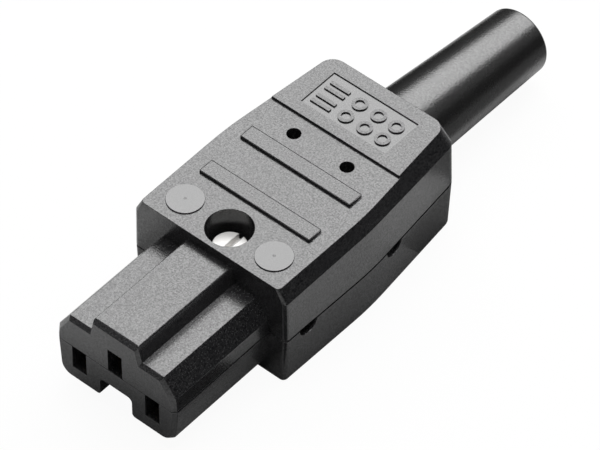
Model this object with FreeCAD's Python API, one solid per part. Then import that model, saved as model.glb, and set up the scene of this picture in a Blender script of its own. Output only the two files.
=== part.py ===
"""Rewireable appliance connector: two moulded shells, three screw terminals, a cord clamp and a bend sleeve.

The nose points along -Y and the cord leaves along +Y. Z is up, and the part rests on its lower shell.
"""
import FreeCAD, Part
import math
import os

from FreeCAD import Vector

# Mating nose, measured from the parting plane of the shells
nose_length = 20.4
nose_width = 22.8
nose_upright_draft = 0.25
nose_upright_height = 2.5
nose_base_draft = 0.4
nose_depth = 6.75
nose_corner_radius = 1.8
shoulder_width = 17.9
shoulder_height = 5.85
rib_foot_width = 9.8
rib_top_width = 8.5
rib_height = 8.7
nose_edge_bevel = 0.6
key_groove_width = 6.1
key_groove_height = 3.6
key_groove_radius = 0.8
key_groove_lip_radius = 0.6

# Pins of the mating inlet and the slots that take them
pin_pitch = 14.0
pin_width = 2.0
pin_height = 4.0
slot_side_clearance = 0.325
slot_end_clearance = 0.5
slot_wall = 2.2

# Body of the shells, lengths from the body's front face
body_length = 41.0
body_front_width = 29.3
body_bend_width = 29.9
body_rear_width = 25.4
body_bend = 19.0
body_bend_radius = 60.0
body_front_radius = 0.8
body_rear_radius = 2.4
body_upper_height = 10.4
body_lower_depth = 8.9
top_front_width = 26.4
top_bend_width = 26.6
top_rear_width = 22.2
top_rear_inset = 0.7
band_front_width = 29.0
band_bend_width = 28.8
band_rear_width = 24.9
band_height = 7.8
lower_draft = 0.45
parting_bevel = 0.2
shell_wall = 2.0

# Raised work on the upper shell
bar_length = 21.0
bar_width = 2.75
bar_height = 0.45
bar_places = (11.2, 20.2)
pad_radius = 2.9
pad_height = 0.2
pad_spread = 17.0
panel_start = 27.9
panel_inset = 0.16
panel_height = 0.4

# Half-round notches in the lower shell's rim
rim_notch_radius = 1.9
rim_notch_depth = 1.2
rim_notch_places = (4.9, 24.6)

# Register tongues between the shells
tongue_length = 6.0
tongue_thickness = 0.9
tongue_height = 1.2
tongue_clearance = 0.1
tongue_place = 11.5

# Housing screw and its nut
screw_place = 4.5
screw_radius = 1.475
screw_length = 13.0
screw_head_radius = 2.65
screw_head_height = 2.0
screw_head_depth = 3.7
screw_hole_clearance = 0.2
screw_slot_width = 0.8
screw_slot_depth = 1.0
counterbore_radius = 3.63
boss_wall = 1.0
nut_flats = 5.5
nut_height = 2.4
nut_pocket_clearance = 0.05
nut_recess = 0.2
nut_thread_clearance = 0.05

# Folded contact strips
strip_thickness = 0.5
strip_gap = 0.05
strip_width = 4.6
strip_clearance = 0.15
leaf_length = 12.0
leaf_height = 3.9
leaf_grip_gap = 2.1
leaf_flare = 0.55
leaf_flare_length = 1.6
contact_setback = 0.4
chamber_side_clearance = 0.6
chamber_end_clearance = 0.5

# Steel clips over the leaves
clip_thickness = 0.3
clip_length = 6.0
clip_place = 3.6
clip_clearance = 0.05
clip_height = 3.0

# Pillar terminals and their screws
terminal_place = 13.6
terminal_width = 5.4
terminal_length = 7.0
terminal_height = 6.6
terminal_edge = 0.4
wire_hole_radius = 1.6
wire_hole_height = 3.6
terminal_screw_radius = 1.45
terminal_hole_clearance = 0.05
terminal_screw_length = 4.8
terminal_head_radius = 2.3
terminal_head_height = 1.7
terminal_head_gap = 0.3
terminal_slot_width = 0.7
terminal_slot_depth = 0.8
cell_wall = 1.2
cell_clearance = 0.15

# Cord clamp and its screws
cord_radius = 3.4
clamp_place = 24.6
clamp_spread = 10.2
clamp_width = 6.0
clamp_lug_radius = 2.6
clamp_lug_thickness = 2.0
clamp_lug_drop = 1.2
clamp_keel_wall = 1.2
clamp_gap = 0.3
clamp_boss_width = 4.4
clamp_screw_radius = 1.0
clamp_screw_clearance = 0.08
clamp_screw_reach = 6.0
clamp_head_radius = 2.0
clamp_head_height = 1.4
clamp_slot_width = 0.7
clamp_slot_depth = 0.8
cord_ridge_width = 1.5
cord_ridge_gap = 0.3

# Rubber bend sleeve, which sags about its collar
sleeve_reach = 31.0
sleeve_base_radius = 6.65
sleeve_end_radius = 5.6
sleeve_waist_dip = 0.03
sleeve_bore_radius = 3.6
sleeve_neck_radius = 5.2
sleeve_neck_play = 0.7
sleeve_collar_radius = 6.4
sleeve_collar_thickness = 2.2
sleeve_collar_play = 0.85
sleeve_collar_rim_play = 0.35
sleeve_sag = 4.9
sleeve_rear_gap = 0.9
partition_wall = 1.5
partition_clearance = 1.0

# Places that follow from the sizes above
parting = body_lower_depth
top = parting + body_upper_height
floor_top = shell_wall
ceiling = top - shell_wall
overall_length = nose_length + body_length + sleeve_reach
nose_front = -overall_length / 2
body_front = nose_front + nose_length
body_rear = body_front + body_length
bend_y = body_front + body_bend
side_widths = (body_front_width, body_bend_width, body_rear_width)
base_widths = [width - 2 * lower_draft for width in side_widths]
band_widths = (band_front_width, band_bend_width, band_rear_width)
top_widths = (top_front_width, top_bend_width, top_rear_width)
strip_bottom = parting + strip_gap
strip_top = strip_bottom + strip_thickness
screw_y = body_front + screw_place
seat_z = top - screw_head_depth - screw_head_height
terminal_y = body_front + terminal_place
clamp_y = body_front + clamp_place
collar_chamber_rear = body_rear - shell_wall
collar_chamber = sleeve_collar_thickness + 2 * sleeve_collar_play
collar_y = collar_chamber_rear - collar_chamber / 2
partition_front = collar_chamber_rear - collar_chamber - partition_wall
poles = {"neutral": -pin_pitch / 2, "earth": 0.0, "line": pin_pitch / 2}
UP = Vector(0, 0, 1)
REARWARD = Vector(0, 1, 0)


def block(x_range, y_range, z_range):
    """Upright box between three pairs of limits."""
    corner = Vector(x_range[0], y_range[0], z_range[0])
    sizes = [high - low for low, high in (x_range, y_range, z_range)]
    return Part.makeBox(*sizes, corner)


def centred(middle, size):
    """Limits of a length set evenly about its middle."""
    return (middle - size / 2, middle + size / 2)


def post(x, y, z_range, radius):
    """Upright cylinder between two heights."""
    return Part.makeCylinder(radius, z_range[1] - z_range[0], Vector(x, y, z_range[0]), UP)


def lying(x, z, y_range, radius):
    """Cylinder along Y between two limits."""
    return Part.makeCylinder(radius, y_range[1] - y_range[0], Vector(x, y_range[0], z), REARWARD)


def outline(corners, place):
    """Closed wire through (u, v, radius) corners; place turns u and v into a point in space."""
    edges = []
    ends = []
    for index, (u, v, radius) in enumerate(corners):
        here = Vector(u, v, 0)
        before = Vector(*corners[index - 1][:2], 0)
        after = Vector(*corners[(index + 1) % len(corners)][:2], 0)
        back = (before - here).normalize()
        on = (after - here).normalize()
        half_angle = back.getAngle(on) / 2
        if radius == 0:
            ends.append((here, here, here))
            continue
        reach = radius / math.tan(half_angle)
        bisector = (back + on).normalize()
        middle = here + bisector * (radius / math.sin(half_angle) - radius)
        ends.append((here + back * reach, middle, here + on * reach))
    for index, (start, middle, finish) in enumerate(ends):
        previous = ends[index - 1][2]
        edges.append(Part.LineSegment(place(previous), place(start)).toShape())
        if middle != start:
            edges.append(Part.Arc(place(start), place(middle), place(finish)).toShape())
    return Part.Wire(edges)


def plan(corners, z):
    """Outline seen from above, at one height."""
    return outline(corners, lambda point: Vector(point.x, point.y, z))


def section(corners, y):
    """Outline seen along the connector, at one distance, with heights from the parting plane."""
    return outline(corners, lambda point: Vector(point.x, y, parting + point.y))


def mirrored(half):
    """Whole outline from the corners of its right-hand half, bottom to top."""
    return half + [(-u, v, radius) for u, v, radius in reversed(half)]


def loft(wires):
    return Part.makeLoft(wires, True, True)


def body_plan(widths, rear_inset, z, inset):
    """Outline of the body: sides that swell to a soft bend, then a taper to round rear corners."""
    front_half, bend_half, rear_half = [width / 2 - inset for width in widths]
    half = [
        (front_half, body_front + inset, body_front_radius),
        (bend_half, bend_y, body_bend_radius),
        (rear_half, body_rear - rear_inset - inset, body_rear_radius),
    ]
    return plan(mirrored(half), z)


def side_plan(z, inset=0.0):
    return body_plan(side_widths, 0.0, z, inset)


def top_plan(z, inset=0.0):
    return body_plan(top_widths, top_rear_inset, z, inset)


def upper_nose_section(inset):
    """Rib, shoulders and sloping sides of the nose above the parting plane."""
    half = nose_width / 2 - inset
    return mirrored([
        (half - parting_bevel, 0, 0),
        (half, parting_bevel, 0),
        (half - nose_upright_draft, nose_upright_height - inset / 2, 0),
        (shoulder_width / 2 - inset / 2, shoulder_height - inset, 0),
        (rib_foot_width / 2 - inset / 2, shoulder_height - inset, 0),
        (rib_top_width / 2 - inset / 2, rib_height - inset, 0),
    ])


def lower_nose_section(inset):
    """Drafted sides, round corners and key groove of the nose below the parting plane."""
    half = nose_width / 2 - inset
    groove_half = key_groove_width / 2
    return mirrored([
        (groove_half, key_groove_height - nose_depth, key_groove_radius),
        (groove_half, -nose_depth, key_groove_lip_radius),
        (half - nose_base_draft, -nose_depth, nose_corner_radius),
        (half, -parting_bevel, 0),
        (half - parting_bevel, 0, 0),
    ])


def nose(section_at):
    """Nose half with a bevelled front edge, run into the body's front wall."""
    return loft([
        section(section_at(nose_edge_bevel), nose_front),
        section(section_at(0), nose_front + nose_edge_bevel),
        section(section_at(0), body_front + shell_wall / 2),
    ])


def slot_tool(x, side):
    """Cut for one pin: side is 1 above the parting plane and -1 below it."""
    width = pin_width + 2 * slot_side_clearance
    depth = side * (pin_height + slot_end_clearance)
    return block(
        centred(x, width),
        (nose_front - nose_edge_bevel, nose_front + slot_wall + nose_edge_bevel),
        sorted((parting, parting + depth)),
    )


leaf_outer = leaf_grip_gap / 2 + strip_thickness + leaf_flare
leaf_start = nose_front + slot_wall + contact_setback
leaf_end = leaf_start + leaf_length


def chamber_tool(x, side):
    """Room behind a slot for the leaves of a contact and its clip."""
    half = leaf_outer + chamber_side_clearance
    depth = side * (strip_gap + strip_thickness + leaf_height + clip_thickness + chamber_end_clearance)
    return block(
        (x - half, x + half),
        (nose_front + slot_wall, body_front + shell_wall),
        sorted((parting, parting + depth)),
    )


def strip_tool(x):
    """Shallow channel in the upper shell that a contact strip lies in."""
    return block(
        centred(x, strip_width + 2 * strip_clearance),
        (nose_front + slot_wall, terminal_y + terminal_length / 2 + strip_clearance),
        (parting, strip_top + strip_gap),
    )


def cavity_tool(z_range):
    """Hollow of the body between its front wall and the partition ahead of the sleeve."""
    shape = Part.Face(side_plan(z_range[0], shell_wall)).extrude(UP * (z_range[1] - z_range[0]))
    reach = body_bend_width / 2
    keep = block((-reach, reach), (body_front + shell_wall, partition_front), z_range)
    return shape.common(keep)


def sleeve_seat_tool():
    """Room for the sleeve's collar and neck, and the cord's way through the partition."""
    collar_width = 2 * (sleeve_collar_radius + sleeve_collar_rim_play)
    collar_limits = centred(collar_y, collar_chamber)
    collar = block(centred(0, collar_width), collar_limits, centred(parting, collar_width))
    neck_limits = (collar_chamber_rear, body_rear + shell_wall)
    neck = lying(0, parting, neck_limits, sleeve_neck_radius + sleeve_neck_play)
    passage_width = 2 * (cord_radius + partition_clearance)
    passage_limits = (partition_front - partition_wall, collar_y)
    passage = block(centred(0, passage_width), passage_limits, centred(parting, passage_width))
    return [collar, neck, passage]


def tongue(side, clearance):
    """Register tongue on the inside of one wall, or the rebate for it."""
    wall_middle = body_bend_width / 2 - shell_wall / 2
    outer = side * (wall_middle + clearance)
    inner = side * (wall_middle - tongue_thickness - clearance)
    return block(
        sorted((inner, outer)),
        centred(body_front + tongue_place, tongue_length + 2 * clearance),
        (parting - shell_wall, parting + tongue_height + clearance),
    )


def slotted_head(x, y, z_range, radius, slot_width, slot_depth, up):
    """Cheese head whose slot lies on its upper or lower face."""
    head = post(x, y, z_range, radius)
    slot_limits = (z_range[1] - slot_depth, z_range[1]) if up else (z_range[0], z_range[0] + slot_depth)
    return head.cut(block(centred(x, slot_width), centred(y, 4 * radius), slot_limits))


def upper_shell():
    outer = loft([
        side_plan(parting, parting_bevel),
        side_plan(parting + parting_bevel),
        body_plan(band_widths, 0.0, parting + band_height, 0.0),
        top_plan(top),
    ])
    panel = loft([top_plan(top), top_plan(top + panel_height, panel_inset)])
    panel_limits = (body_front + panel_start, body_rear)
    panel = panel.common(block((-body_bend_width, body_bend_width), panel_limits, (0, 2 * top)))
    raised = [panel]
    for place in bar_places:
        limits = centred(body_front + place, bar_width)
        raised.append(block(centred(0, bar_length), limits, (top - bar_height, top + bar_height)))
    for side in (-1, 1):
        pad_limits = (top - pad_height, top + pad_height)
        raised.append(post(side * pad_spread / 2, screw_y, pad_limits, pad_radius))
    shell = outer.fuse([nose(upper_nose_section)] + raised)
    shell = shell.cut(cavity_tool((parting - shell_wall, ceiling)))

    # Screw boss, terminal cells, clamp bosses and cord ridge stand on the ceiling
    into_ceiling = ceiling + shell_wall / 2
    boss_bottom = strip_top + strip_gap
    boss_half = counterbore_radius + boss_wall
    boss_limits = (body_front + shell_wall / 2, screw_y + boss_half)
    works = [block((-boss_half, boss_half), boss_limits, (boss_bottom, into_ceiling))]
    cell_pitch = pin_pitch / 2
    cell_limits = centred(terminal_y, terminal_length + 2 * cell_clearance)
    for step in (-1.5, -0.5, 0.5, 1.5):
        wall_limits = (cell_limits[0] - cell_wall, cell_limits[1])
        works.append(block(centred(step * cell_pitch, cell_wall), wall_limits, (boss_bottom, into_ceiling)))
    cross_limits = (cell_limits[0] - cell_wall, cell_limits[0])
    works.append(block(centred(0, 3 * cell_pitch + cell_wall), cross_limits, (boss_bottom, into_ceiling)))
    cell_floor = strip_top + terminal_height
    works.append(block(centred(0, 3 * cell_pitch), cell_limits, (cell_floor, into_ceiling)))
    boss_end = parting - clamp_lug_drop + clamp_gap
    for side in (-1, 1):
        post_limits = centred(side * clamp_spread / 2, clamp_boss_width)
        works.append(block(post_limits, centred(clamp_y, clamp_boss_width), (boss_end, into_ceiling)))
    ridge_limits = (parting + cord_radius - cord_ridge_gap, into_ceiling)
    works.append(block(centred(0, clamp_spread), centred(clamp_y, cord_ridge_width), ridge_limits))
    shell = shell.fuse(works)

    # Openings: counterbore, screw hole, clamp screws' through holes, slots, chambers, channels, sleeve seat
    cuts = [
        post(0, screw_y, (seat_z, top + panel_height), counterbore_radius),
        post(0, screw_y, (parting, top), screw_radius + screw_hole_clearance),
        slot_tool(poles["earth"], 1),
        chamber_tool(poles["earth"], 1),
        lying(0, parting, centred(clamp_y, 2 * clamp_width), cord_radius),
    ]
    for side in (-1, 1):
        hole_limits = (floor_top, top + panel_height)
        hole_radius = clamp_screw_radius + clamp_screw_clearance
        cuts.append(post(side * clamp_spread / 2, clamp_y, hole_limits, hole_radius))
        cuts.append(tongue(side, tongue_clearance))
    for x in poles.values():
        cuts.append(strip_tool(x))
    shell = shell.cut(cuts + sleeve_seat_tool())
    return shell.removeSplitter()


def lower_shell():
    outer = loft([
        body_plan(base_widths, 0.0, 0, 0.0),
        side_plan(parting - parting_bevel),
        side_plan(parting, parting_bevel),
    ])
    shell = outer.fuse(nose(lower_nose_section))
    shell = shell.cut(cavity_tool((floor_top, parting + shell_wall)))

    # Nut boss and a cross rib that holds the strips up against the upper shell
    into_floor = floor_top / 2
    boss_width = 2 * (nut_flats / math.sqrt(3) + boss_wall)
    boss = block(centred(0, boss_width), centred(screw_y, boss_width), (into_floor, parting))
    rib_y = terminal_y - terminal_length / 2 - cell_clearance - cell_wall / 2
    rib = block(centred(0, pin_pitch + strip_width), centred(rib_y, cell_wall), (into_floor, parting))
    tongues = [tongue(side, 0) for side in (-1, 1)]
    shell = shell.fuse([boss, rib] + tongues)

    cuts = [post(0, screw_y, (0, parting), screw_radius + screw_hole_clearance)]
    cuts.append(hexagon(nut_flats + 2 * nut_pocket_clearance, (0, nut_recess + nut_height)))
    for name in ("line", "neutral"):
        cuts.append(slot_tool(poles[name], -1))
        cuts.append(chamber_tool(poles[name], -1))
    wall_x = body_front_width / 2
    for side in (-1, 1):
        for place in rim_notch_places:
            inner = Vector(side * (wall_x - rim_notch_depth), body_front + place, parting)
            cuts.append(Part.makeCylinder(rim_notch_radius, wall_x, inner, Vector(side, 0, 0)))
    shell = shell.cut(cuts + sleeve_seat_tool())
    return shell.removeSplitter()


def hexagon(flats, z_range):
    """Upright hexagonal prism on the screw's axis."""
    corner = flats / math.sqrt(3)
    turns = [math.radians(60 * n) for n in range(6)]
    ring = [Vector(corner * math.cos(a), screw_y + corner * math.sin(a), z_range[0]) for a in turns]
    return Part.Face(Part.makePolygon(ring + ring[:1])).extrude(UP * (z_range[1] - z_range[0]))


def housing_screw():
    head_limits = (seat_z, seat_z + screw_head_height)
    head = slotted_head(0, screw_y, head_limits, screw_head_radius, screw_slot_width, screw_slot_depth, True)
    shank = post(0, screw_y, (seat_z - screw_length, seat_z), screw_radius)
    return head.fuse(shank).removeSplitter()


def housing_nut():
    body = hexagon(nut_flats, (nut_recess, nut_recess + nut_height))
    return body.cut(post(0, screw_y, (0, parting), screw_radius + nut_thread_clearance))


def leaf_plan(x, side):
    """One spring leaf seen from above: flared mouth, then straight back along the pin."""
    inner = leaf_grip_gap / 2
    outer = inner + strip_thickness
    mouth = leaf_start + leaf_flare_length
    corners = [
        (inner + leaf_flare, leaf_start),
        (inner, mouth),
        (inner, leaf_end),
        (outer, leaf_end),
        (outer, mouth),
        (outer + leaf_flare, leaf_start),
    ]
    return [(x + side * u, v, 0) for u, v in corners]


def contact(x, direction):
    """Folded strip: two leaves that grip the pin, and a flat tail with a hole for the terminal screw."""
    leaf_limits = (strip_bottom, strip_top + leaf_height)
    if direction < 0:
        leaf_limits = (strip_bottom - leaf_height, strip_top)
    leaves = []
    for side in (-1, 1):
        face = Part.Face(plan(leaf_plan(x, side), leaf_limits[0]))
        leaves.append(face.extrude(UP * (leaf_limits[1] - leaf_limits[0])))
    web_width = leaf_grip_gap + 2 * strip_thickness
    web = block(centred(x, web_width), (leaf_start + leaf_flare_length, leaf_end), (strip_bottom, strip_top))
    tail_end = terminal_y + terminal_length / 2
    tail = block(centred(x, strip_width), (leaf_end - strip_width, tail_end), (strip_bottom, strip_top))
    strip = tail.fuse([web] + leaves)
    hole_limits = (strip_bottom, strip_top)
    strip = strip.cut(post(x, terminal_y, hole_limits, terminal_screw_radius + screw_hole_clearance))
    if x == poles["earth"]:
        strip = strip.cut(post(x, screw_y, hole_limits, screw_radius + screw_hole_clearance))
    return strip.removeSplitter()


def spring_clip(x, direction):
    """Steel clip that bridges the leaves' free edges and presses them together."""
    inner = leaf_grip_gap / 2 + strip_thickness + clip_clearance
    outer = inner + clip_thickness
    free_edge = strip_top + leaf_height if direction > 0 else strip_bottom - leaf_height
    bridge = free_edge + direction * clip_clearance
    y_range = (leaf_start + clip_place, leaf_start + clip_place + clip_length)
    whole = block((x - outer, x + outer), y_range,
                  sorted((bridge + direction * clip_thickness, bridge - direction * clip_height)))
    hollow = block((x - inner, x + inner), y_range,
                   sorted((bridge, bridge - direction * 2 * clip_height)))
    return whole.cut(hollow)


def terminal(x):
    """Pillar block over the strip's tail, with a wire hole along Y and a tapped hole from below."""
    z_range = (strip_top, strip_top + terminal_height)
    body = block(centred(x, terminal_width), centred(terminal_y, terminal_length), z_range)
    upright = [edge for edge in body.Edges if edge.Vertexes[0].Z != edge.Vertexes[1].Z]
    body = body.makeChamfer(terminal_edge, upright)
    wire_z = strip_top + wire_hole_height
    wire_hole = lying(x, wire_z, centred(terminal_y, 2 * terminal_length), wire_hole_radius)
    screw_hole = post(x, terminal_y, (strip_bottom, wire_z), terminal_screw_radius + terminal_hole_clearance)
    return body.cut([wire_hole, screw_hole])


def terminal_screw(x):
    head_top = strip_bottom - terminal_head_gap
    head = slotted_head(x, terminal_y, (head_top - terminal_head_height, head_top), terminal_head_radius,
                        terminal_slot_width, terminal_slot_depth, False)
    shank = post(x, terminal_y, (head_top, head_top + terminal_screw_length), terminal_screw_radius)
    return head.fuse(shank).removeSplitter()


lug_top = parting - clamp_lug_drop
lug_bottom = lug_top - clamp_lug_thickness


def cord_clamp():
    """Saddle: a bar with two screw lugs, hollowed for the cord and thickened by a keel under it."""
    y_range = centred(clamp_y, clamp_width)
    half = clamp_spread / 2
    bar = block((-half, half), y_range, (lug_bottom, lug_top))
    lugs = []
    for side in (-1, 1):
        lugs.append(block(centred(side * half, 2 * clamp_lug_radius), y_range, (lug_bottom, lug_top)))
    keel_width = clamp_spread - 2 * (clamp_head_radius + clamp_gap)
    keel_limits = (parting - cord_radius - clamp_keel_wall, lug_top)
    keel = block(centred(0, keel_width), y_range, keel_limits)
    saddle = bar.fuse(lugs + [keel])
    cuts = [lying(0, parting, centred(clamp_y, 2 * clamp_width), cord_radius)]
    for side in (-1, 1):
        cuts.append(post(side * half, clamp_y, (0, parting), clamp_screw_radius + screw_hole_clearance))
    return saddle.cut(cuts).removeSplitter()


def clamp_screw(side):
    x = side * clamp_spread / 2
    head = slotted_head(x, clamp_y, (lug_bottom - clamp_head_height, lug_bottom), clamp_head_radius,
                        clamp_slot_width, clamp_slot_depth, False)
    shank = post(x, clamp_y, (lug_bottom, lug_top + clamp_screw_reach), clamp_screw_radius)
    return head.fuse(shank).removeSplitter()


def bend_sleeve():
    """Tapered rubber sleeve with a slightly hollow flank, turned, then let down about its collar."""
    collar_half = sleeve_collar_thickness / 2
    tail_start = body_rear - collar_y + sleeve_rear_gap
    sag = math.radians(sleeve_sag)
    tail_end = (body_rear + sleeve_reach - collar_y - sleeve_end_radius * math.sin(sag)) / math.cos(sag)
    corners = [
        (sleeve_end_radius, tail_end),
        (sleeve_bore_radius, tail_end),
        (sleeve_bore_radius, -collar_half),
        (sleeve_collar_radius, -collar_half),
        (sleeve_collar_radius, collar_half),
        (sleeve_neck_radius, collar_half),
        (sleeve_neck_radius, tail_start),
        (sleeve_base_radius, tail_start),
    ]
    centre = Vector(0, collar_y, parting)
    points = [centre + Vector(radius, along, 0) for radius, along in corners]
    waist_radius = (sleeve_base_radius + sleeve_end_radius) / 2 - sleeve_waist_dip
    waist = centre + Vector(waist_radius, (tail_start + tail_end) / 2, 0)
    flank = Part.Arc(points[-1], waist, points[0]).toShape()
    profile = Part.Wire(Part.makePolygon(points).Edges + [flank])
    sleeve = Part.Face(profile).revolve(centre, REARWARD, 360)
    return sleeve.rotate(centre, Vector(1, 0, 0), -sleeve_sag)


nodes = {
    "upper_shell": upper_shell(),
    "lower_shell": lower_shell(),
    "housing_screw": housing_screw(),
    "housing_nut": housing_nut(),
    "cord_clamp": cord_clamp(),
    "clamp_screw_left": clamp_screw(-1),
    "clamp_screw_right": clamp_screw(1),
    "bend_sleeve": bend_sleeve(),
}
for pole, pole_x in poles.items():
    leaf_direction = 1 if pole == "earth" else -1
    nodes[pole + "_contact"] = contact(pole_x, leaf_direction)
    nodes[pole + "_spring"] = spring_clip(pole_x, leaf_direction)
    nodes[pole + "_terminal"] = terminal(pole_x)
    nodes[pole + "_screw"] = terminal_screw(pole_x)

os.makedirs("parts", exist_ok=True)
for name, shape in nodes.items():
    shape.exportStep("parts/" + name + ".step")
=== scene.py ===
import math

import bmesh
import bpy
from mathutils import Matrix, Quaternion, Vector


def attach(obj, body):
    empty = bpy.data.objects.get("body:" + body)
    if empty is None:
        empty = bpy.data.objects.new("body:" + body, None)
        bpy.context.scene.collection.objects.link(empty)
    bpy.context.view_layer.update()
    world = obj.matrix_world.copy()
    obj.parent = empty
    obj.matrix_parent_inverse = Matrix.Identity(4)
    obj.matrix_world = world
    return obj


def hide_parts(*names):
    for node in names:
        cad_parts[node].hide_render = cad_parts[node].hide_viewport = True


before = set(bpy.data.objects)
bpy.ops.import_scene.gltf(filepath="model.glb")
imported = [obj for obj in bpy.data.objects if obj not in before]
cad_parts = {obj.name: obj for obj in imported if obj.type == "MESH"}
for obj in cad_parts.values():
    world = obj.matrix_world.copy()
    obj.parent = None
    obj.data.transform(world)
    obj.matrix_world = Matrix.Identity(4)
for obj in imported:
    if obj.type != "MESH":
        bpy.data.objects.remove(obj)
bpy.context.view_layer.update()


# Lower shell: the half that lies on the bench, injection moulded in black filled plastic.
# The eroded mould leaves a fine grain on its faces, and its edges come out slightly round.
# The nut, the sleeve's collar and the upper half are all set into it.
shell_edge_round = 0.00008
plastic_dark = (0.004, 0.004, 0.005)
plastic_light = (0.036, 0.036, 0.037)
plastic_rough = 0.18
rough_by_grain = 0.06
rough_by_mottle = 0.04
plastic_specular = 0.7
plastic_coat = 0.5
coat_by_mottle = 0.4
plastic_coat_rough = 0.2
grain_scale = 3600.0
grain_detail = 3.0
grain_depth = 0.000022
speck_scale = 3900.0
mottle_scale = 140.0
mottle_detail = 3.0
polished_rough = 0.16
polished_coat = 0.9
grain_lost_to_polish = 0.6
weld = 1e-6
touching = 1e-7


class Field:
    """A value over a surface: a node's output, joined to other values with Python's operators."""

    def __init__(self, tree, output=None):
        self.tree = tree
        self.output = output

    def node(self, kind, sockets, output=0, **settings):
        """A new node of that kind, its settings set first and its sockets then set or linked."""
        made = self.tree.nodes.new("ShaderNode" + kind)
        for name, value in settings.items():
            setattr(made, name, value)
        for name, value in sockets.items():
            if isinstance(value, Field):
                self.tree.links.new(value.output, made.inputs[name])
            else:
                made.inputs[name].default_value = value
        return Field(self.tree, made.outputs[output] if made.outputs else None)

    def __add__(self, other):
        return self.node("Math", {0: self, 1: other}, operation="ADD")

    def __sub__(self, other):
        return self.node("Math", {0: self, 1: other}, operation="SUBTRACT")

    def __rsub__(self, other):
        return self.node("Math", {0: other, 1: self}, operation="SUBTRACT")

    def __mul__(self, other):
        return self.node("Math", {0: self, 1: other}, operation="MULTIPLY")

    def __lt__(self, other):
        return self.node("Math", {0: self, 1: other}, operation="LESS_THAN")

    def __gt__(self, other):
        return self.node("Math", {0: self, 1: other}, operation="GREATER_THAN")

    __radd__ = __add__
    __rmul__ = __mul__


def bare_material(name):
    """A material with no nodes yet, and the place on the piece, in metres, to start them from."""
    material = bpy.data.materials.new(name)
    material.use_nodes = True
    tree = material.node_tree
    tree.nodes.clear()
    return material, Field(tree).node("TexCoord", {}, "Object")


def noise(place, scale, detail=2.0):
    """An even cloud of noise, with so many cells to a metre."""
    return place.node("TexNoise", {"Vector": place, "Scale": scale, "Detail": detail})


def flecked(place, scale):
    """Fine specks with more contrast than plain noise, from 0 to 1."""
    fleck_detail = 1.0
    darkest = 0.3
    brightest = 0.7
    cloud = noise(place, scale, fleck_detail)
    return place.node("MapRange", {"Value": cloud, "From Min": darkest, "From Max": brightest})


def tint(mask, dark, light):
    """A colour between two, by a mask from 0 to 1."""
    first_colour = 6
    second_colour = 7
    mixed_colour = 2
    opaque = 1.0
    sockets = {0: mask, first_colour: (*dark, opaque), second_colour: (*light, opaque)}
    return mask.node("Mix", sockets, mixed_colour, data_type="RGBA")


def bumped(height, distance):
    """The surface's normal, turned by a relief of that height."""
    return height.node("Bump", {"Height": height, "Distance": distance})


def surfaced(place, **sockets):
    """Ends a material's nodes with the shader that these sockets describe."""
    named = {name.replace("_", " "): value for name, value in sockets.items()}
    shader = place.node("BsdfPrincipled", named)
    place.node("OutputMaterial", {"Surface": shader})


def moulded_plastic(name, polish_at=None):
    """Black filled plastic with an eroded grain, and glossier where polish_at gives a mask."""
    material, place = bare_material(name)
    grain = noise(place, grain_scale, grain_detail)
    specks = flecked(place, speck_scale)
    mottle = noise(place, mottle_scale, mottle_detail)
    rough = plastic_rough + rough_by_grain * grain + rough_by_mottle * mottle
    coat = (plastic_coat + coat_by_mottle * mottle) * specks
    height = grain
    if polish_at:
        polish = polish_at(place)
        rough = rough * (1.0 - polish) + polished_rough * polish
        coat = coat * (1.0 - polish) + polished_coat * polish
        height = grain * (1.0 - grain_lost_to_polish * polish)
    surfaced(place, Base_Color=tint(specks, plastic_dark, plastic_light), Roughness=rough,
             Specular_IOR_Level=plastic_specular, Coat_Weight=coat, Coat_Roughness=plastic_coat_rough,
             Normal=bumped(height, grain_depth))
    return material


def piece(name, work, material, body, slot, *stands_for):
    """The finished mesh as an object that rides on a body and stands for CAD nodes."""
    convex_crease = math.radians(46)
    hollow_crease = math.radians(20)
    for edge in work.edges:
        crease = convex_crease if edge.is_convex else hollow_crease
        edge.smooth = edge.calc_face_angle() < crease
    mesh = bpy.data.meshes.new(name)
    work.to_mesh(mesh)
    work.free()
    mesh.shade_smooth()
    mesh.materials.append(material)
    made = bpy.data.objects.new(name, mesh)
    bpy.context.scene.collection.objects.link(made)
    weighted = made.modifiers.new("flat_faces", "WEIGHTED_NORMAL")
    weighted.keep_sharp = True
    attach(made, body)
    if stands_for:
        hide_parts(*stands_for)


def rounded(work, edges, edge_round, steps):
    """Rounds these edges of a mesh."""
    bmesh.ops.bevel(work, geom=edges, offset=edge_round, offset_type="OFFSET", affect="EDGES",
                    segments=steps, profile=0.5, material=-1)


def merged_copy(node):
    """A node's own solid with its triangles merged into faces."""
    flat = math.radians(0.5)
    work = bmesh.new()
    work.from_mesh(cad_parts[node].data)
    bmesh.ops.remove_doubles(work, verts=work.verts, dist=weld)
    bmesh.ops.dissolve_limit(work, angle_limit=flat, verts=work.verts, edges=work.edges)
    return work


def eased(work, edge_round, steps=2, level=None):
    """Rounds a solid's outer edges, or only those that lie at a level."""
    sharp = math.radians(18)
    edges = [edge for edge in work.edges
             if edge.is_manifold and edge.is_convex and edge.calc_face_angle() > sharp
             and (level is None or all(abs(vert.co.z - level) < weld for vert in edge.verts))]
    rounded(work, edges, edge_round, steps)
    bmesh.ops.remove_doubles(work, verts=work.verts, dist=touching)
    bmesh.ops.dissolve_degenerate(work, dist=touching, edges=work.edges)
    return work


def dressed(node, suffix, edge_round, material, body, slot):
    """A copy of a node's solid with eased edges, which stands for that node."""
    work = eased(merged_copy(node), edge_round)
    piece(node + suffix, work, material, body, slot, node)


shell_finish = moulded_plastic("shell_plastic_lower")
dressed("lower_shell", "_moulding", shell_edge_round, shell_finish, "lower_half", "shell_plastic")


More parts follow.
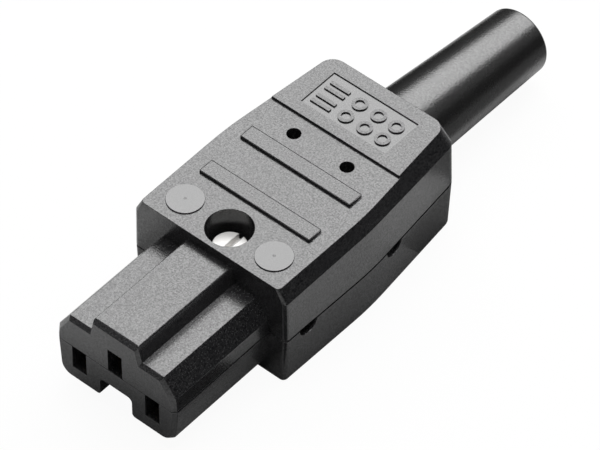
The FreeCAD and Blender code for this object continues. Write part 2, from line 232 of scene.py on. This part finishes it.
# Housing nut: a plain hexagon nut of nickel-plated steel, with its corners tumbled smooth.
# It is pressed into a pocket under the lower shell, and the housing screw draws on it.
nut_edge_round = 0.00012
nickel_dark = (0.88, 0.87, 0.85)
nickel_light = (0.97, 0.96, 0.95)
nickel_rough = 0.5
rough_by_wear = 0.2
wear_scale = 900.0
wear_detail = 4.0
tumble_scale = 6000.0
tumble_depth = 0.000003

screw_finish, place = bare_material("screw_nickel")
wear = noise(place, wear_scale, wear_detail)
tumble = noise(place, tumble_scale)
surfaced(place, Base_Color=tint(wear, nickel_dark, nickel_light), Metallic=1.0,
         Roughness=nickel_rough + rough_by_wear * wear, Normal=bumped(tumble, tumble_depth))
dressed("housing_nut", "_plated", nut_edge_round, screw_finish, "lower_half", "screw_nickel")


# Bend sleeve: a tapered tube of black rubber that stiffens the cord where it leaves the housing.
# It is moulded in one piece with a collar, which the two halves trap, and it sags about that collar.
sleeve_centre = Vector((0.0, 0.01125, 0.0089))
sleeve_sag = math.radians(4.9)
sleeve_bore = 0.0036
collar_radius = 0.0064
collar_half = 0.0011
neck_radius = 0.0052
flank_start = 0.00485
flank_end = 0.03459
flank_start_radius = 0.00665
flank_end_radius = 0.0056
flank_dip = 0.00003
lip_round = 0.0005
lip_steps = 4
sleeve_sides = 96
rubber_dark = (0.008, 0.008, 0.008)
rubber_light = (0.014, 0.014, 0.014)
rubber_rough = 0.24
rough_by_bloom = 0.06
rubber_specular = 1.0
rubber_coat = 0.5
rubber_coat_rough = 0.25
bloom_scale = 260.0
bloom_detail = 4.0
skin_scale = 3200.0
skin_depth = 0.00001

rubber, place = bare_material("sleeve_rubber")
bloom = noise(place, bloom_scale, bloom_detail)
skin = flecked(place, skin_scale)
surfaced(place, Base_Color=tint(bloom, rubber_dark, rubber_light),
         Roughness=rubber_rough + rough_by_bloom * bloom, Specular_IOR_Level=rubber_specular,
         Coat_Weight=rubber_coat * skin, Coat_Roughness=rubber_coat_rough,
         Normal=bumped(skin, skin_depth))
flank_waist = (flank_start_radius + flank_end_radius) / 2 - flank_dip
sleeve_profile = [
    (sleeve_bore, -collar_half),
    (collar_radius, -collar_half),
    (collar_radius, collar_half),
    (neck_radius, collar_half),
    (neck_radius, flank_start),
    (flank_start_radius, flank_start),
    (flank_waist, (flank_start + flank_end) / 2),
    (flank_end_radius, flank_end),
    (sleeve_bore, flank_end),
]
sleeve_work = bmesh.new()
ring = [sleeve_work.verts.new(sleeve_centre + Vector((radius, along, 0.0)))
        for radius, along in sleeve_profile]
for near, far in zip(ring, ring[1:] + ring[:1]):
    sleeve_work.edges.new((near, far))
bmesh.ops.spin(sleeve_work, geom=sleeve_work.verts[:] + sleeve_work.edges[:], cent=sleeve_centre,
               axis=(0.0, 1.0, 0.0), angle=2 * math.pi, steps=sleeve_sides, use_merge=True)
bmesh.ops.recalc_face_normals(sleeve_work, faces=sleeve_work.faces)
lip_y = sleeve_centre.y + flank_end
lip_angle = math.radians(57)
lips = [edge for edge in sleeve_work.edges
        if edge.calc_face_angle() > lip_angle
        and all(abs(vert.co.y - lip_y) < weld for vert in edge.verts)]
rounded(sleeve_work, lips, lip_round, lip_steps)
bmesh.ops.rotate(sleeve_work, cent=sleeve_centre, matrix=Matrix.Rotation(-sleeve_sag, 3, "X"),
                 verts=sleeve_work.verts)
piece("bend_sleeve_rubber", sleeve_work, rubber, "lower_half", "sleeve_rubber", "bend_sleeve")


# Contacts: brass strip, blanked and folded so that two leaves grip each pin of the inlet.
# The rolling leaves faint streaks along the strip, and the blanking rounds its edges a little.
poles = ("line", "neutral", "earth")
strip_edge_round = 0.00005
brass_dark = (0.62, 0.42, 0.16)
brass_light = (0.78, 0.57, 0.25)
brass_rough = 0.22
rough_by_streaks = 0.22
tarnish_scale = 180.0
tarnish_detail = 4.0
streak_stretch = (9.0, 1.0, 9.0)
streak_scale = 420.0
streak_detail = 3.0
streak_depth = 0.0000024

brass_finish, place = bare_material("contact_brass")
along_strip = place.node("Mapping", {"Vector": place, "Scale": streak_stretch})
streaks = noise(along_strip, streak_scale, streak_detail)
tarnish = noise(place, tarnish_scale, tarnish_detail)
surfaced(place, Base_Color=tint(tarnish, brass_dark, brass_light), Metallic=1.0,
         Roughness=brass_rough + rough_by_streaks * streaks, Normal=bumped(streaks, streak_depth))
for pole in poles:
    dressed(pole + "_contact", "_strip", strip_edge_round, brass_finish, "upper_half", "contact_brass")


# Springs: clips of hardened steel strip, bent over the leaves so that they keep their grip when warm.
# They are blued by the heat treatment and push on from the leaves' free edges.
clip_edge_round = 0.00004
steel_dark = (0.30, 0.31, 0.34)
steel_light = (0.44, 0.45, 0.48)
steel_rough = 0.24
rough_by_temper = 0.14
temper_scale = 300.0
temper_detail = 3.0

spring_finish, place = bare_material("spring_steel")
temper = noise(place, temper_scale, temper_detail)
surfaced(place, Base_Color=tint(temper, steel_dark, steel_light), Metallic=1.0,
         Roughness=steel_rough + rough_by_temper * temper)
for pole in poles:
    dressed(pole + "_spring", "_clip", clip_edge_round, spring_finish, "upper_half", "spring_steel")


# Terminals: pillar blocks of brass bar, sawn off, drilled through for the wire and tapped from below.
# Each one stands on its contact's tail in a cell of the upper shell.
terminal_edge_round = 0.0001

for pole in poles:
    dressed(pole + "_terminal", "_block", terminal_edge_round, brass_finish, "upper_half",
            "contact_brass")


# Terminal screws: slotted cheese heads of nickel-plated steel with rolled threads.
# They go up through the contacts' tails into the blocks and clamp the wire cores there.
head_sides = 64
rim_round = 0.00012
rim_steps = 3
thread_sides = 32
thread_pitch = 0.0005
thread_depth = 0.00026
crest_start = 0.4
crest_end = 0.52
root_start = 0.92
terminal_screw = {
    "head_radius": 0.0023,
    "head_height": 0.0017,
    "slot_width": 0.0007,
    "slot_depth": 0.0008,
    "shank_radius": 0.00145,
    "shank_length": 0.0048,
}
terminal_y = -0.0122
terminal_seat = 0.00865
pole_places = {"line": 0.007, "neutral": -0.007, "earth": 0.0}


def grown(work, faces, height):
    """Raises faces straight up and gives back the raised ones."""
    made = bmesh.ops.extrude_face_region(work, geom=faces)["geom"]
    points = [item for item in made if isinstance(item, bmesh.types.BMVert)]
    bmesh.ops.translate(work, vec=(0.0, 0.0, height), verts=points)
    return [item for item in made if isinstance(item, bmesh.types.BMFace)]


def slotted_screw(head_radius, head_height, slot_width, slot_depth, shank_radius, shank_length):
    """A screw with its head above z = 0 and its threaded shank below."""
    work = bmesh.new()
    core = shank_radius - thread_depth
    profile = [
        (core, 0.0),
        (shank_radius, crest_start),
        (shank_radius, crest_end),
        (core, root_start),
        (core, 1.0),
    ]
    line = [work.verts.new((radius, 0.0, -shank_length + (along - 1.0) * thread_pitch))
            for radius, along in profile]
    links = [work.edges.new(pair) for pair in zip(line, line[1:])]
    turns = math.ceil(shank_length / thread_pitch) + 1
    bmesh.ops.spin(work, geom=line + links, cent=(0.0, 0.0, 0.0), axis=(0.0, 0.0, 1.0),
                   dvec=(0.0, 0.0, thread_pitch / thread_sides), angle=2 * math.pi * turns,
                   steps=thread_sides * turns, use_merge=False)
    bmesh.ops.remove_doubles(work, verts=work.verts, dist=touching)
    cut_slack = 1e-8
    for height, outward in ((-shank_length, -1.0), (0.0, 1.0)):
        bmesh.ops.bisect_plane(work, geom=work.verts[:] + work.edges[:] + work.faces[:], dist=cut_slack,
                               plane_co=(0.0, 0.0, height), plane_no=(0.0, 0.0, outward),
                               clear_outer=True)
    open_edges = [edge for edge in work.edges if edge.is_boundary]
    bmesh.ops.holes_fill(work, edges=open_edges, sides=0)

    disc = bmesh.ops.create_circle(work, cap_ends=True, segments=head_sides, radius=head_radius)["verts"]
    brim = dict.fromkeys(edge for vert in disc for edge in vert.link_edges)
    head = disc + list(brim) + disc[0].link_faces[:]
    for side in (-1.0, 1.0):
        head = bmesh.ops.bisect_plane(work, geom=head, plane_co=(side * slot_width / 2, 0.0, 0.0),
                                      plane_no=(1.0, 0.0, 0.0))["geom"]
    base = [item for item in head if isinstance(item, bmesh.types.BMFace)]
    floors = grown(work, base, head_height - slot_depth)
    lands = [face for face in floors if abs(face.calc_center_median().x) > slot_width / 2]
    grown(work, lands, slot_depth)
    bmesh.ops.delete(work, geom=lands, context="FACES_ONLY")
    bmesh.ops.recalc_face_normals(work, faces=work.faces)
    steep = math.radians(60)
    rims = [edge for edge in work.edges if min(vert.co.z for vert in edge.verts) > rim_round
            and edge.is_convex and edge.calc_face_angle() > steep]
    rounded(work, rims, rim_round, rim_steps)
    return work


def fitted_screw(node, sizes, seat, head_down):
    """A plated screw that stands for its node, with the underside of its head on its seat."""
    work = slotted_screw(**sizes)
    if head_down:
        bmesh.ops.rotate(work, matrix=Matrix.Rotation(math.pi, 3, "X"), verts=work.verts)
    bmesh.ops.translate(work, vec=seat, verts=work.verts)
    piece(node + "_plated", work, screw_finish, node, "screw_nickel", node)


for pole in poles:
    seat = (pole_places[pole], terminal_y, terminal_seat)
    fitted_screw(pole + "_screw", terminal_screw, seat, head_down=True)


# Upper shell: the other half of the housing, moulded in the same black plastic over the contacts.
# Two round pads are polished in the mould, and an insert in it leaves a shallow field on the rear panel.
screw_y = -0.0213
shell_top = 0.0193
pad_spread = 0.017
pad_radius = 0.0029
pad_pip_radius = 0.00025
pad_rise = 0.0001
panel_top = 0.0197
panel_slack = 0.00002
field_x = (-0.0084, 0.0078)
field_y = (0.0042, 0.01185)
field_depth = 0.0002
field_polish = 0.8
rib_top = 0.0176
rib_edge_round = 0.0003
bar_top = 0.01975
bar_edge_round = 0.00009
soft_steps = 5


def polished(place):
    """1 on the two round pads, less in the panel's field, and 0 on the rest of the shell."""
    across, along, height = (place.node("SeparateXYZ", {0: place}, axis) for axis in "XYZ")
    aside = across.node("Math", {0: across}, operation="ABSOLUTE") - pad_spread / 2
    behind = along - screw_y
    from_centre = aside * aside + behind * behind
    disc = (from_centre < pad_radius ** 2) * (from_centre > pad_pip_radius ** 2)
    pads = disc * (height > shell_top + pad_rise)
    inside = (across > field_x[0]) * (across < field_x[1]) * (along > field_y[0]) * (along < field_y[1])
    field = inside * (height > shell_top) * (height < panel_top - field_depth / 2)
    return pads + field_polish * field


upper_finish = moulded_plastic("shell_plastic_upper", polished)
upper_work = merged_copy("upper_shell")
eased(upper_work, rib_edge_round, soft_steps, rib_top)
eased(upper_work, bar_edge_round, soft_steps, bar_top)
eased(upper_work, shell_edge_round)
for vert in upper_work.verts:
    vert.co.z = min(vert.co.z, bar_top)
nearly_level = math.cos(math.radians(2.5))
panel_faces = [face for face in upper_work.faces
               if face.normal.z > nearly_level
               and abs(face.calc_center_median().z - panel_top) < panel_slack]
panel_face = max(panel_faces, key=lambda face: face.calc_area())
cut = [panel_face] + panel_face.edges[:] + panel_face.verts[:]
for normal, limits in (((1.0, 0.0, 0.0), field_x), ((0.0, 1.0, 0.0), field_y)):
    for limit in limits:
        cut = bmesh.ops.bisect_plane(upper_work, geom=cut, plane_co=Vector(normal) * limit,
                                     plane_no=normal)["geom"]
field_middle = Vector((sum(field_x) / 2, sum(field_y) / 2, panel_top))
field_face = min((item for item in cut if isinstance(item, bmesh.types.BMFace)),
                 key=lambda face: (face.calc_center_median() - field_middle).length)
grown(upper_work, [field_face], -field_depth)
bmesh.ops.delete(upper_work, geom=[field_face], context="FACES_ONLY")
bmesh.ops.recalc_face_normals(upper_work, faces=upper_work.faces)
piece("upper_shell_moulding", upper_work, upper_finish, "upper_half", "shell_plastic", "upper_shell")


# Blank marks: plain low dashes and rings that stand in the panel's shallow field.
# They are moulded in one with the upper shell, from the same plastic, with the grain on them.
mark_height = 0.00024
mark_sink = 0.00005
mark_rows = (0.0094, 0.0062)
dash_x = -0.0057
dash_length = 0.0036
dash_width = 0.0006
dash_pitch = 0.0013
ring_places = (-0.0014, 0.0022, 0.0056)
ring_outer = 0.00125
ring_inner = 0.00075
ring_sides = 48

mark_work = bmesh.new()
mark_floor = panel_top - field_depth - mark_sink
mark_rise = mark_height + mark_sink
for y in mark_rows:
    for shift in (-dash_pitch / 2, dash_pitch / 2):
        size = Matrix.Diagonal((dash_length, dash_width, mark_rise, 1.0))
        middle = Matrix.Translation((dash_x, y + shift, mark_floor + mark_rise / 2))
        bmesh.ops.create_cube(mark_work, size=1.0, matrix=middle @ size)
    for x in ring_places:
        centre = Vector((x, y, mark_floor))
        corners = [mark_work.verts.new(centre + Vector((radius, 0.0, height)))
                   for radius, height in ((ring_inner, 0.0), (ring_outer, 0.0),
                                          (ring_outer, mark_rise), (ring_inner, mark_rise))]
        section = [mark_work.edges.new(pair) for pair in zip(corners, corners[1:] + corners[:1])]
        bmesh.ops.spin(mark_work, geom=corners + section, cent=centre, axis=(0.0, 0.0, 1.0),
                       angle=2 * math.pi, steps=ring_sides, use_merge=True)
bmesh.ops.recalc_face_normals(mark_work, faces=mark_work.faces)
piece("panel_blank_marks", mark_work, shell_finish, "upper_half", "shell_plastic")


# Cord clamp: a saddle moulded in natural black nylon, duller than the shells.
# Two screws draw it up under the cord's sheath against a ridge in the upper shell.
clamp_edge_round = 0.00015
nylon_dark = (0.030, 0.030, 0.032)
nylon_light = (0.042, 0.042, 0.044)
nylon_rough = 0.42
rough_by_cloud = 0.1
cloud_scale = 300.0
cloud_detail = 3.0

nylon, place = bare_material("clamp_nylon")
cloud = noise(place, cloud_scale, cloud_detail)
surfaced(place, Base_Color=tint(cloud, nylon_dark, nylon_light),
         Roughness=nylon_rough + rough_by_cloud * cloud)
dressed("cord_clamp", "_saddle", clamp_edge_round, nylon, "cord_clamp", "clamp_nylon")


# Clamp screws: thinner slotted screws of the same plated steel, one through each lug of the clamp.
# Their heads face down, and their threads run up into the bosses of the upper shell.
clamp_screw = {
    "head_radius": 0.0020,
    "head_height": 0.0014,
    "slot_width": 0.0007,
    "slot_depth": 0.0008,
    "shank_radius": 0.0010,
    "shank_length": 0.0080,
}
clamp_y = -0.0012
clamp_seat = 0.0057
clamp_places = {"left": -0.0051, "right": 0.0051}

for side, x in clamp_places.items():
    fitted_screw("clamp_screw_" + side, clamp_screw, (x, clamp_y, clamp_seat), head_down=True)


# Housing screw: the one long slotted screw that holds the halves together, of nickel-plated steel.
# Its cheese head is sunk in the upper shell's counterbore, and its point turns in the nut below.
housing_screw = {
    "head_radius": 0.00265,
    "head_height": 0.0020,
    "slot_width": 0.0008,
    "slot_depth": 0.0010,
    "shank_radius": 0.001475,
    "shank_length": 0.0130,
}
housing_seat = 0.0136

fitted_screw("housing_screw", housing_screw, (0.0, screw_y, housing_seat), head_down=False)


# Bench: a plain pale sheet of paper under the part, which the camera sees as white.
# It keeps the soft shadow that the part throws, and the part's sides mirror it.
bench_reach = 2.0
bench_drop = 0.00005
bench_pale = (0.5, 0.5, 0.5, 1.0)
plain_white = (1.0, 1.0, 1.0, 1.0)
white_level = 1.03
white_share_seen = 0.92
white_share_mirrored = 0.03


def staged(name, work, material):
    """A mesh that dresses the stage and isn't part of the object."""
    mesh = bpy.data.meshes.new(name)
    work.to_mesh(mesh)
    work.free()
    mesh.materials.append(material)
    made = bpy.data.objects.new(name, mesh)
    bpy.context.scene.collection.objects.link(made)
    return made


sheet, place = bare_material("bench_sheet")
seen, mirrored, through = (place.node("LightPath", {}, "Is " + kind + " Ray")
                           for kind in ("Camera", "Glossy", "Transmission"))
paper = place.node("BsdfDiffuse", {"Color": bench_pale})
white = place.node("Emission", {"Color": plain_white, "Strength": white_level})
share = seen * white_share_seen + (mirrored + through) * white_share_mirrored
mixed = place.node("MixShader", {0: share, 1: paper, 2: white})
place.node("OutputMaterial", {"Surface": mixed})
bench_work = bmesh.new()
bmesh.ops.create_grid(bench_work, x_segments=1, y_segments=1, size=bench_reach)
bmesh.ops.translate(bench_work, vec=(0.0, 0.0, -bench_drop), verts=bench_work.verts)
staged("bench", bench_work, sheet)


# Dark cards: black flags stand out of view on both sides of the part and keep the slopes dark. The cards
# that lie flat at its foot, beside the sleeve and in the corner by the nose are painted shade: they
# stand for the bench's contact shadow as reflections see it, and darken the lower half and a corner.
# Only reflections show any of them, and they throw no shadow.
card_reach = 0.26
card_height = 0.032
contact_shade_lift = 0.0003
corner_shade_lift = 0.0004
card_black = (0.004, 0.004, 0.004, 1.0)
# Painted shade: the greys of the flat cards that stand for the bench's contact shadow.
contact_shade_grey = (0.15, 0.15, 0.15, 1.0)
contact_shade_pale = (0.3, 0.3, 0.3, 1.0)
cards = {
    "right": (card_black, (0.046, -0.04, 0.0), (0.046, card_reach, card_height)),
    "left": (card_black, (-0.024, 0.022, 0.0), (-0.024, card_reach, card_height)),
    # The flat cards below are painted shade: the bench's contact shadow, seen only in reflections.
    "flat": (contact_shade_grey, (0.011, 0.022, contact_shade_lift), (0.046, card_reach, contact_shade_lift)),
    "foot_shade": (contact_shade_pale, (-0.020, -0.052, contact_shade_lift), (0.020, 0.006, contact_shade_lift)),
    "heel_shade": (contact_shade_grey, (-0.0175, 0.006, contact_shade_lift), (0.0175, 0.022, contact_shade_lift)),
    "corner": (card_black, (0.0152, -0.047, corner_shade_lift), (0.032, -0.0275, corner_shade_lift)),
}

for side, (shade, near, far) in cards.items():
    cloth, place = bare_material("dark_card_" + side)
    dull = place.node("BsdfDiffuse", {"Color": shade})
    place.node("OutputMaterial", {"Surface": dull})
    card_work = bmesh.new()
    corners = [card_work.verts.new(corner) for corner in (
        near, (near[0], far[1], near[2]), far, (far[0], near[1], far[2]))]
    card_work.faces.new(corners)
    card = staged("dark_card_" + side, card_work, cloth)
    card.visible_camera = False
    card.visible_diffuse = False
    card.visible_shadow = False


# Studio light: one wide soft panel behind and above, which the level faces mirror to the camera.
# A smaller lamp straight overhead lights the screw's head and the bench.
# A dim even room fills the shadows, and shows white behind the bench.
panel_direction = Vector((-0.32, 0.585, 0.745)).normalized()
panel_distance = 0.7
panel_width = 1.05
panel_height = 0.50
panel_power = 6.9
overhead_place = Vector((0.0, 0.0, 0.7))
overhead_width = 0.4
overhead_power = 2.4
room_glow = 0.18
room_seen = 1.0


def soft_lamp(name, place, width, height, power):
    """A flat lamp that faces the part."""
    light = bpy.data.lights.new(name, "AREA")
    light.shape = "RECTANGLE"
    light.size = width
    light.size_y = height
    light.energy = power
    lamp = bpy.data.objects.new(name, light)
    bpy.context.scene.collection.objects.link(lamp)
    lamp.location = place
    lamp.rotation_mode = "QUATERNION"
    lamp.rotation_quaternion = (-place).to_track_quat("-Z", "Y")


soft_lamp("soft_panel", panel_direction * panel_distance, panel_width, panel_height, panel_power)
soft_lamp("overhead", overhead_place, overhead_width, overhead_width, overhead_power)
world = bpy.data.worlds.new("dim_room")
bpy.context.scene.world = world
world.use_nodes = True
world.node_tree.nodes.clear()
room = Field(world.node_tree)
open_view = room.node("LightPath", {}, "Is Camera Ray")
dim = room.node("Background", {"Color": plain_white, "Strength": room_glow})
bright = room.node("Background", {"Color": plain_white, "Strength": room_seen})
around = room.node("MixShader", {0: open_view, 1: dim, 2: bright})
room.node("OutputWorld", {"Surface": around})


# Camera: a long lens well back, above the right-hand corner of the nose.
# It looks down at about 48 degrees, so that the top, the nose's front and the right side all show.
aim = Vector((0.00216, -0.00823, 0.01049))
view_distance = 0.707
azimuth = math.radians(40.495)
elevation = math.radians(47.973)
roll = math.radians(0.217)
lens = 290.14
sensor = 36.0
near_clip = 0.01

backward = Vector((
    math.sin(azimuth) * math.cos(elevation),
    -math.cos(azimuth) * math.cos(elevation),
    math.sin(elevation),
))
camera_data = bpy.data.cameras.new("camera")
camera_data.lens = lens
camera_data.sensor_width = sensor
camera_data.clip_start = near_clip
camera = bpy.data.objects.new("camera", camera_data)
bpy.context.scene.collection.objects.link(camera)
camera.location = aim + backward * view_distance
camera.rotation_mode = "QUATERNION"
camera.rotation_quaternion = (-backward).to_track_quat("-Z", "Y") @ Quaternion((0.0, 0.0, 1.0), roll)
bpy.context.scene.camera = camera
bpy.context.scene.view_settings.view_transform = "Standard"
